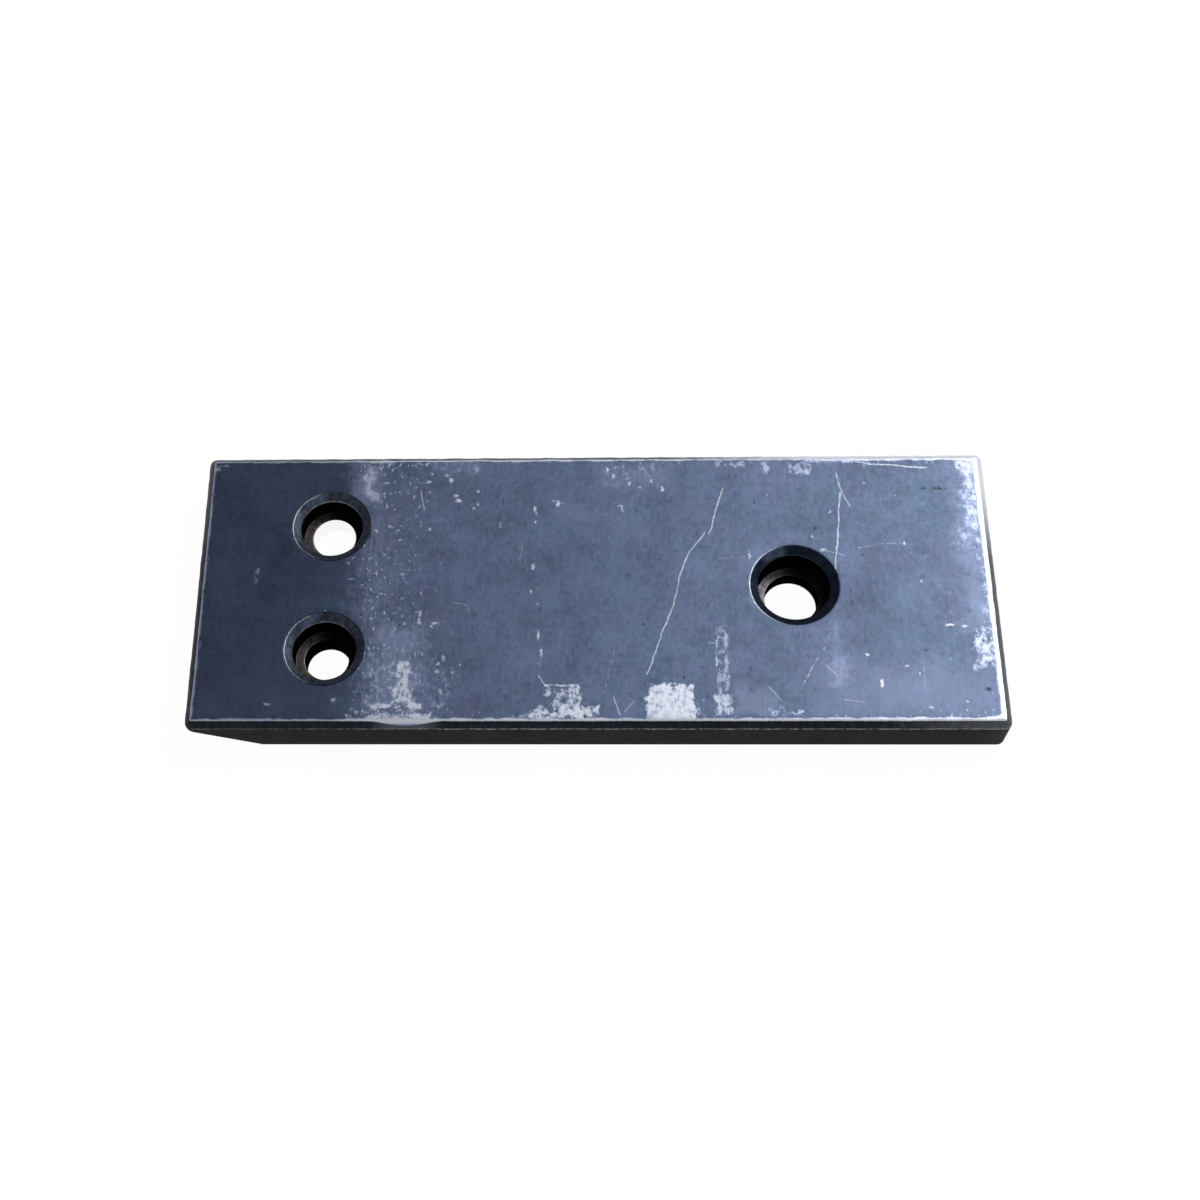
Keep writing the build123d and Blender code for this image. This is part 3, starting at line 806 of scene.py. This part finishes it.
def makeHoleSteel(finish):
    material, tree, shader, point = startMaterial("boredSteel")
    height = part(tree, point, "z")
    mottle = useGroup(tree, steelMottle, Point=point)
    pair, single = mounts["pair_seat_back"], mounts["single_seat"]
    pairX, pairY, singleX = pair["pos_m"][0] / mm, pair["pos_m"][1] / mm, single["pos_m"][0] / mm
    pairSeat, singleSeat = pair["dims"]["r_mm"], single["dims"]["r_mm"]
    top = steelHigh.z / mm

    # which hole this point is in, and where it lies round the axis
    inSingle = maths(tree, "GREATER_THAN", part(tree, point, "x"), 0.0)
    inBack = maths(tree, "GREATER_THAN", part(tree, point, "y"), 0.0)
    centreX = blendValues(tree, inSingle, pairX, singleX)
    centreY = times(tree, maths(tree, "SUBTRACT", 1.0, inSingle),
                    blendValues(tree, inBack, -pairY, pairY))
    offset = vectorMaths(tree, "SUBTRACT", flatten(tree, point),
                         addNode(tree, "CombineXYZ", X=centreX, Y=centreY).outputs[0])
    radial = vectorMaths(tree, "LENGTH", offset)
    toLeft = maths(tree, "DIVIDE", times(tree, part(tree, offset, "x"), -1.0), radial)
    toBack = maths(tree, "DIVIDE", part(tree, offset, "y"), radial)
    seatRadius = blendValues(tree, inSingle, pairSeat, singleSeat)
    rimRadius = blendValues(tree, inSingle, pairSeat + holeForm["rimFlare"]["pair"] / mm,
                            singleSeat + holeForm["rimFlare"]["single"] / mm)

    # cone, ledge, bore and seat wall
    onCone = times(tree, maths(tree, "GREATER_THAN", radial, maths(tree, "ADD", seatRadius, 0.04)),
                   maths(tree, "GREATER_THAN", height, top - 2.0))
    facing = part(tree, addNode(tree, "NewGeometry").outputs["True Normal"], "z")
    onLedge = smoothStep(tree, facing, 0.85, 0.95)
    inBore = maths(tree, "LESS_THAN", radial, maths(tree, "SUBTRACT", seatRadius, 2.05))
    grime = smoothStep(tree, mottle["Grit"], 0.3, 0.75, 0.5, 1.6)
    cone = blendColours(tree, inSingle, finish["pairCone"], finish["singleCone"])
    # painted highlight: a paler patch on the cone towards the back left of each hole
    glow = times(tree, closeTo(tree, toLeft, 0.45, 0.40, 0.10), smoothStep(tree, toBack, 0.4, 0.9))
    cone = blendColours(tree, times(tree, glow, 0.55), cone, finish["coneHighlightColour"])
    cone = vectorMaths(tree, "SCALE", cone, scale=times(tree, grime, 0.89))
    ledge = blendColours(tree, inSingle, finish["pairLedge"], finish["singleLedge"])
    # painted highlight and shade: the ledge is coloured paler on its left side and darker towards its right
    lit = times(tree, grime, smoothStep(tree, toLeft, -0.2, 0.95, 0.05, 0.9))
    ledge = vectorMaths(tree, "SCALE", ledge, scale=lit)
    # painted shade: the bore and seat walls are coloured nearly black, for the shade inside the hole
    colour = vectorMaths(tree, "SCALE", finish["wall"], scale=grime)
    colour = blendColours(tree, onLedge, colour, ledge)
    colour = blendColours(tree, onCone, colour, cone)

    # bright rim on the left, a pale line at each lower edge and a pale arc at the back of the mouth: worn
    # edges, with painted highlights where they are kept to the left side and the back; faint turned rings
    rimEdge = closeTo(tree, radial, rimRadius, 0.34, 0.10)
    rimEdge = times(tree, rimEdge, smoothStep(tree, toLeft, 0.10, 0.70, 0.0, 0.85))
    mouth = times(tree, closeTo(tree, radial, seatRadius, 0.16, 0.05),
                  smoothStep(tree, height, top - 1.7, top - 1.35),
                  smoothStep(tree, toBack, 0.3, 0.8, 0.04, 0.38), blendValues(tree, inSingle, 1.0, 0.2))
    boreRadius = maths(tree, "SUBTRACT", seatRadius, blendValues(
        tree, inSingle, pairSeat - mounts["pair_bore_back"]["dims"]["r_mm"],
        singleSeat - mounts["single_bore"]["dims"]["r_mm"]))
    boreEdge = times(tree, closeTo(tree, radial, boreRadius, 0.22, 0.08), onLedge,
                     smoothStep(tree, toLeft, 0.2, 0.9, 0.03, 0.5))
    # worn edges together with the painted highlights on the left and at the back
    wearAndHighlights = times(tree, greatest(tree, [rimEdge, mouth, boreEdge]), smoothStep(
        tree, mottle["Grit"], 0.3, 0.6, 0.5, 1.0))
    colour = blendColours(tree, wearAndHighlights, colour, finish["paleSteel"])
    polished = times(tree, inBore, inBack, maths(tree, "SUBTRACT", 1.0, inSingle),
                     smoothStep(tree, facing, 0.5, 0.2))
    colour = blendColours(tree, polished, colour, finish["polished"])
    feed(tree, shader.inputs["Base Color"], colour)
    rough = grainRough(tree, mottle, finish["rough"], 0.06, 0.10)
    feed(tree, shader.inputs["Roughness"], blendValues(tree, polished, rough, finish["polishedRough"]))
    metal = greatest(tree, [times(tree, onCone, 0.8), wearAndHighlights, polished,
                            times(tree, onLedge, 0.5)])
    feed(tree, shader.inputs["Metallic"], metal)
    shader.inputs["Specular IOR Level"].default_value = finish["specular"]
    rings = maths(tree, "SINE", times(tree, maths(tree, "ADD", radial, height),
                                      2 * math.pi / finish["ringPitch"]))
    relief = maths(tree, "MULTIPLY_ADD", rings, 0.010, times(tree, mottle["Grain"], 0.02))
    addRelief(tree, shader, relief, 0.8)
    return material


def makeUnderSteel(finish):
    material, tree, shader, point = startMaterial("milledUnderSteel")
    along, across = part(tree, point, "x"), part(tree, point, "y")
    mottle = useGroup(tree, steelMottle, Point=point)
    bow = times(tree, across, across, 0.006)  # arcs left by the face cutter
    swirl = maths(tree, "SINE", times(tree, maths(tree, "ADD", along, bow),
                                      2 * math.pi / finish["cutterPitch"]))
    tone = maths(tree, "ADD", mottle["Cloud"], times(tree, mottle["Grit"], 0.6))
    film = vectorMaths(tree, "SCALE", finish["film"], scale=smoothStep(tree, tone, 0.5, 1.1, 0.6, 1.5))
    film = vectorMaths(tree, "SCALE", film, scale=smoothStep(tree, swirl, -1.0, 1.0, 0.9, 1.12))
    nicks = useGroup(tree, flecks, Point=flatten(tree, point), Amount=0.3)["Mask"]
    rubs = noise(tree, stretch(tree, point, 0.3, 1.0), 0.12, 5.0, 0.65)
    rubs = smoothStep(tree, rubs, 0.56, 0.74, 0.0, finish["rubLevel"])
    wear = maths(tree, "MAXIMUM", nicks, rubs)
    feed(tree, shader.inputs["Base Color"], blendColours(tree, wear, film, finish["paleSteel"]))
    feed(tree, shader.inputs["Roughness"], grainRough(tree, mottle, finish["rough"], 0.08, 0.08))
    shader.inputs["Metallic"].default_value = 0.85
    relief = maths(tree, "MULTIPLY_ADD", swirl, 0.012, times(tree, mottle["Grain"], 0.02))
    addRelief(tree, shader, relief, 0.8)
    return material


for slotMaterial in (makeTopSteel(topFinish), makeChamferSteel(chamferFilm), makeSideSteel(sideFinish),
                     makeHoleSteel(holeFinish), makeUnderSteel(underFinish)):
    wornBlock.data.materials.append(slotMaterial)
print("steel finishes made:", len(wornBlock.data.materials))

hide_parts("mounting_block")
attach(wornBlock, "root")


# floor, light and camera

stageForm = dict(
    floorSize=24.0, floorGap=0.05 * mm, floorColour=(0.92, 0.92, 0.92), ownGlow=0.94, glowLevel=1.03,
    keyPlace=(0.75, 0.62, 1.05), keySize=(0.9, 0.9), keyPower=11.5,
    fillPlace=(-0.9, -0.9, 1.3), fillSize=(1.2, 1.2), fillPower=2.0, lightColour=(1.0, 1.0, 1.0),
    skyLow=0.95, skyHigh=0.34,
)

viewForm = dict(place=(-4.78, -194.49, 394.74), turn=(26.52, 2.16, 0.89), lens=54.15, shift=0.0833)


def makeFloor(form):
    deselectAll()
    bpy.ops.mesh.primitive_plane_add(size=form["floorSize"],
                                     location=(0, 0, steelLow.z - form["floorGap"]))
    floor = bpy.context.object
    floor.name = "paleFloor"
    bpy.ops.object.transform_apply(location=True, rotation=True, scale=True)
    material = bpy.data.materials.new("paleFloorPaint")
    material.use_nodes = True
    tree = material.node_tree
    tree.nodes.remove(tree.nodes["Principled BSDF"])
    paint = addNode(tree, "BsdfDiffuse", Color=form["floorColour"]).outputs[0]
    glow = addNode(tree, "Emission", Color=(1, 1, 1), Strength=form["glowLevel"]).outputs[0]
    path = addNode(tree, "LightPath").outputs
    seen = greatest(tree, [path[name] for name in ("Is Camera Ray", "Is Glossy Ray", "Is Transmission Ray")])
    mixed = addNode(tree, "MixShader", Fac=times(tree, seen, form["ownGlow"]))
    tree.links.new(paint, mixed.inputs[1])
    tree.links.new(glow, mixed.inputs[2])
    # open from behind, so that the underside can be looked at through it
    seeThrough = addNode(tree, "MixShader", Fac=addNode(tree, "NewGeometry").outputs["Backfacing"])
    tree.links.new(mixed.outputs[0], seeThrough.inputs[1])
    tree.links.new(addNode(tree, "BsdfTransparent").outputs[0], seeThrough.inputs[2])
    tree.links.new(seeThrough.outputs[0], tree.nodes["Material Output"].inputs["Surface"])
    floor.data.materials.append(material)


def addSoftLight(form, name):
    light = bpy.data.lights.new(name + "Light", "AREA")
    light.shape = "RECTANGLE"
    light.size, light.size_y = form[name + "Size"]
    light.energy = form[name + "Power"]
    light.color = form["lightColour"]
    lamp = bpy.data.objects.new(name + "Light", light)
    bpy.context.scene.collection.objects.link(lamp)
    lamp.location = form[name + "Place"]
    lamp.rotation_euler = (-lamp.location).to_track_quat("-Z", "Y").to_euler()


def makeSky(form):  # pale near the horizon, dimmer overhead, and plain white past the floor's edge
    world = bpy.data.worlds.new("softRoom")
    world.use_nodes = True
    bpy.context.scene.world = world
    tree = world.node_tree
    height = part(tree, addNode(tree, "TexCoord").outputs["Generated"], "z")
    level = smoothStep(tree, height, 0.04, 0.22, form["skyLow"], form["skyHigh"])
    seen = addNode(tree, "LightPath").outputs["Is Camera Ray"]
    feed(tree, tree.nodes["Background"].inputs["Strength"], blendValues(tree, seen, level, 1.0))
    feed(tree, tree.nodes["Background"].inputs["Color"], (1, 1, 1))


def addCamera(form):
    lens = bpy.data.cameras.new("viewCamera")
    lens.lens = form["lens"]
    lens.sensor_width = 36.0
    lens.shift_x = form["shift"]
    lens.clip_start = 0.01
    camera = bpy.data.objects.new("viewCamera", lens)
    bpy.context.scene.collection.objects.link(camera)
    camera.location = [value * mm for value in form["place"]]
    camera.rotation_euler = [math.radians(value) for value in form["turn"]]
    bpy.context.scene.camera = camera


makeFloor(stageForm)
addSoftLight(stageForm, "key")
addSoftLight(stageForm, "fill")
makeSky(stageForm)
addCamera(viewForm)
bpy.context.scene.view_settings.view_transform = "Standard"
print("floor, lights and camera ready")
